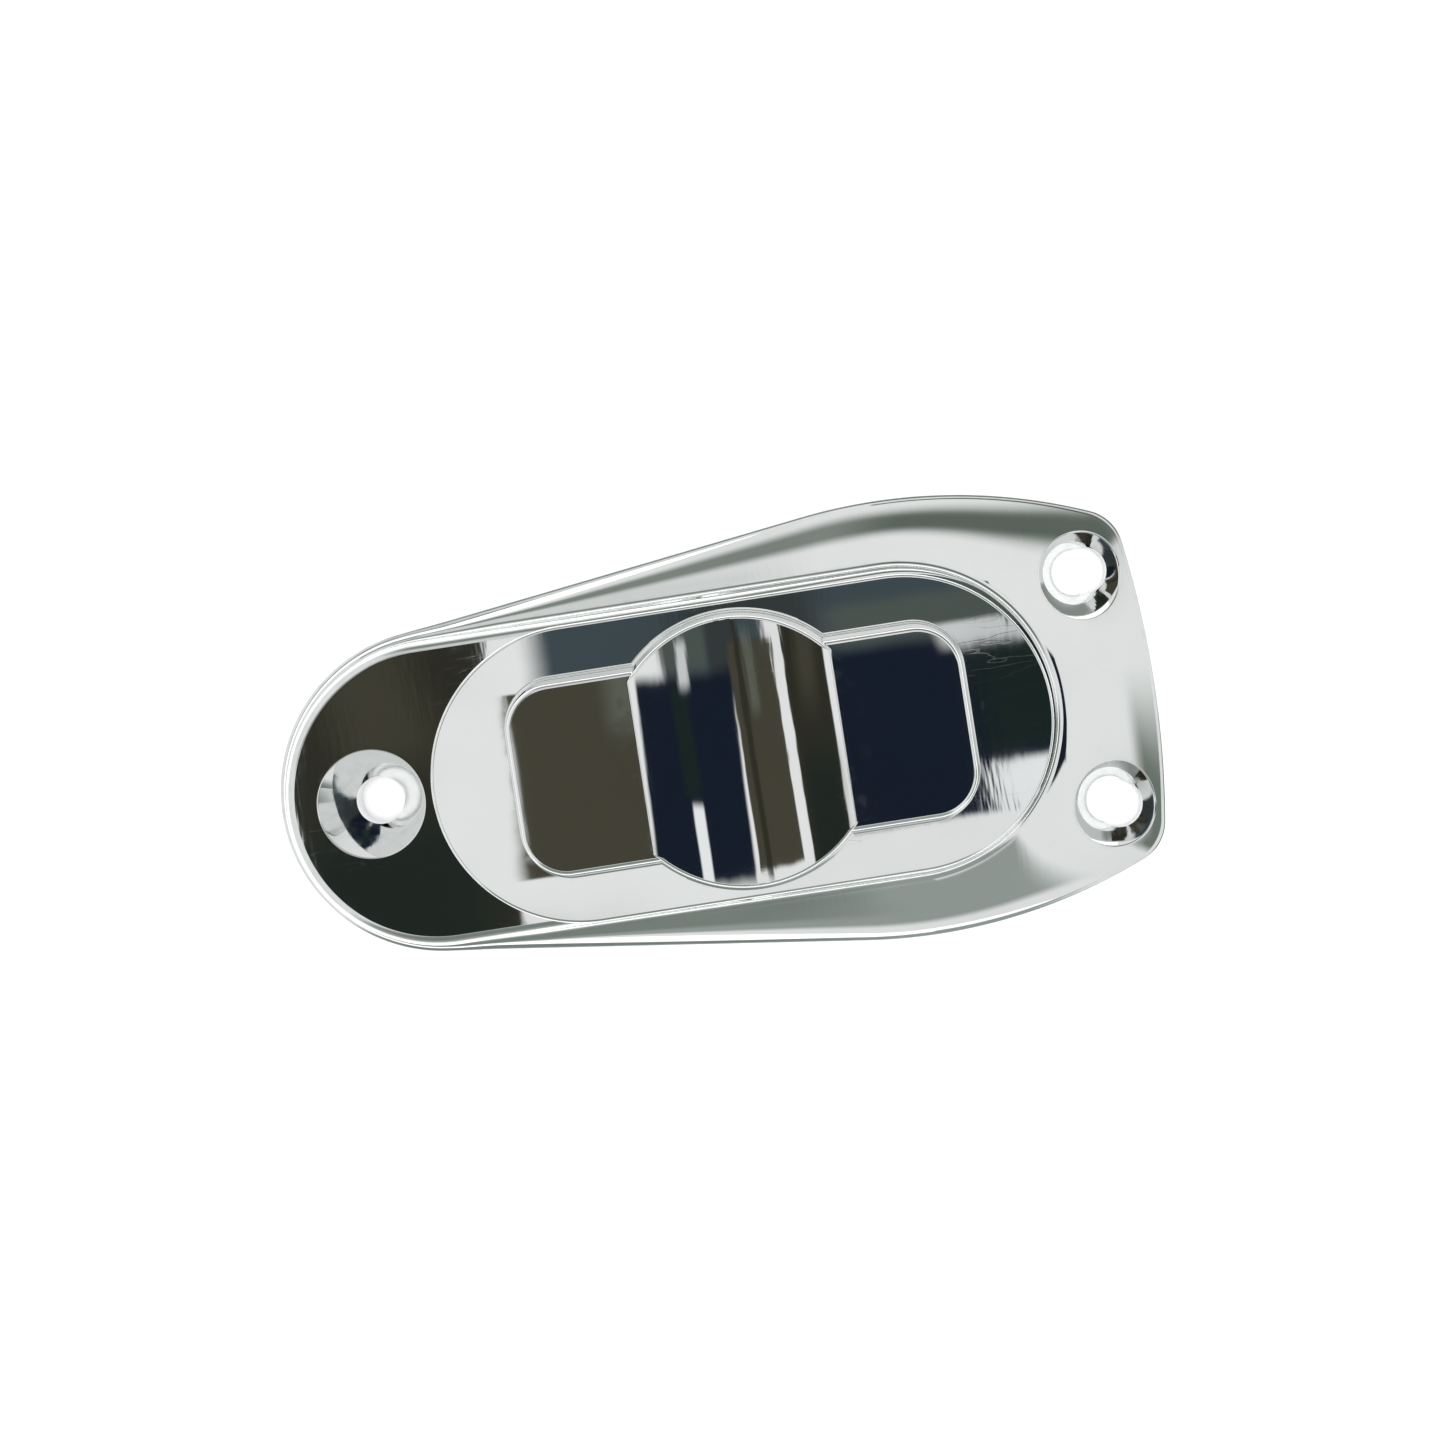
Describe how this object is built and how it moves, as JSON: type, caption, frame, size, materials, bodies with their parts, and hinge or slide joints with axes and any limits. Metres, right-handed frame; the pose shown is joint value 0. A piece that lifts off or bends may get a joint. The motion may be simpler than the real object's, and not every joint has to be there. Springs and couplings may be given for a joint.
{
  "type": "window turn handle",
  "caption": "Turn handle for a casement window: flanged teardrop base with a raised plateau, and a double-ended lever with a dished grip that swings a quarter turn each way.",
  "frame": {"origin": "middle of the base's box, on the plane of the back that lies on the window frame", "axes": "+X along the base towards its wide end, +Y across it, +Z off the window frame towards the hand"},
  "size_m": [0.102, 0.0508, 0.0145],
  "materials": {
    "chrome_base": "mirror-polished chrome plate on a zinc casting",
    "chrome_lever": "mirror-polished chrome plate on a zinc casting",
    "bush_bronze": "sintered bronze, dull",
    "seal_rubber": "black rubber, satin",
    "slip_plastic": "white low-friction plastic, waxy",
    "pin_steel": "ground steel",
    "carrier_plastic": "black moulded plastic, fine spark texture",
    "spring_steel": "blued spring steel strip",
    "cover_zinc": "zinc-plated pressed sheet",
    "screw_zinc": "bright zinc plate",
    "spindle_steel": "turned steel, greased",
    "cam_steel": "stamped and hardened steel",
    "washer_steel": "stamped steel",
    "wear_plastic": "natural white nylon"
  },
  "bodies": {
    "base": {"base_casting": "chrome_base", "pivot_bush": "bush_bronze", "spindle_seal": "seal_rubber", "slip_washer": "slip_plastic", "stop_pin": "pin_steel", "spring_carrier": "carrier_plastic", "detent_spring_left": "spring_steel", "detent_spring_right": "spring_steel", "back_cover": "cover_zinc", "cover_screws": "screw_zinc"},
    "lever": {"handle_casting": "chrome_lever", "spindle": "spindle_steel", "handle_screw": "screw_zinc", "detent_cam": "cam_steel", "thrust_washer": "washer_steel", "spring_washer": "spring_steel", "spur_pad_left": "wear_plastic", "spur_pad_right": "wear_plastic"}
  },
  "joints": [
    {"name": "handle_turn", "type": "hinge", "parent": "base", "child": "lever", "pos_m": [0.0029, 0, 0.0067], "axis": [0, 0, 1], "range_deg": [-90, 90], "deforming": ["detent_spring_left", "detent_spring_right"]}
  ]
}
